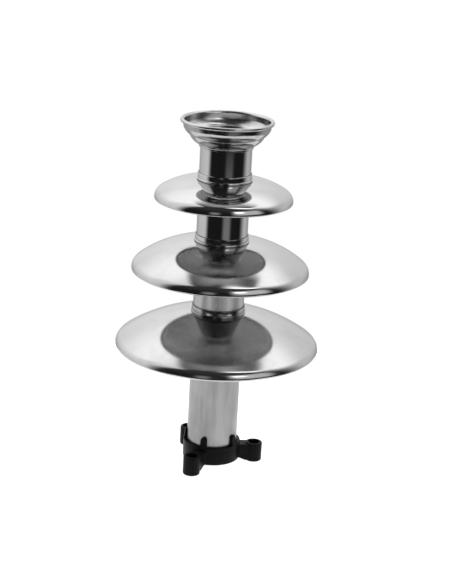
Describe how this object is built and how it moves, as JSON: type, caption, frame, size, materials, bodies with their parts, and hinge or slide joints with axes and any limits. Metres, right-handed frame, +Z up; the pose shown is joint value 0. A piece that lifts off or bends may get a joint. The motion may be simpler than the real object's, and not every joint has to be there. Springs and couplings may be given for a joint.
{
  "type": "chocolate fountain tower",
  "caption": "Lift-apart chocolate fountain tower: domed steel tiers and a crown cup on a round tube, an auger inside, and a black socket bracket at its foot.",
  "frame": {"origin": "on the tower axis, level with the undersides of the three feet", "axes": "+Z up the tower axis, +X towards one of the three sockets"},
  "size_m": [0.198, 0.198, 0.3453],
  "materials": {
    "polished_steel": "mirror-polished stainless steel",
    "satin_steel": "satin stainless steel",
    "black_plastic": "matt moulded",
    "silicone_seal": "matt silicone"
  },
  "bodies": {
    "base": {"base_bracket": "black_plastic", "lower_tube": "satin_steel", "lower_tier": "satin_steel", "lower_collar": "satin_steel", "lower_lock_ring": "satin_steel", "lower_seal": "silicone_seal"},
    "middle_stage": {"middle_tube": "satin_steel", "middle_tier": "polished_steel", "middle_collar": "polished_steel", "middle_lock_ring": "satin_steel", "middle_seal": "silicone_seal"},
    "upper_stage": {"upper_tube": "polished_steel", "upper_tier": "polished_steel", "upper_collar": "polished_steel", "upper_lock_ring": "satin_steel", "upper_seal": "silicone_seal"},
    "crown_stage": {"crown_tube": "polished_steel", "crown_cup": "polished_steel", "crown_collar": "polished_steel", "crown_lock_ring": "satin_steel"},
    "auger": {"auger_shaft": "satin_steel", "auger_flight": "satin_steel", "auger_drive_bush": "satin_steel", "auger_cross_pin": "polished_steel", "auger_top_cap": "satin_steel"}
  },
  "joints": [
    {"name": "auger_spin", "type": "hinge", "parent": "base", "child": "auger", "pos_m": [0, 0, 0], "axis": [0, 0, -1], "continuous": true},
    {"name": "middle_lift", "type": "slide", "parent": "base", "child": "middle_stage", "axis": [0, 0, 1], "range_m": [0, 0.19]},
    {"name": "upper_lift", "type": "slide", "parent": "middle_stage", "child": "upper_stage", "axis": [0, 0, 1], "range_m": [0, 0.12]},
    {"name": "crown_lift", "type": "slide", "parent": "upper_stage", "child": "crown_stage", "axis": [0, 0, 1], "range_m": [0, 0.06]}
  ]
}
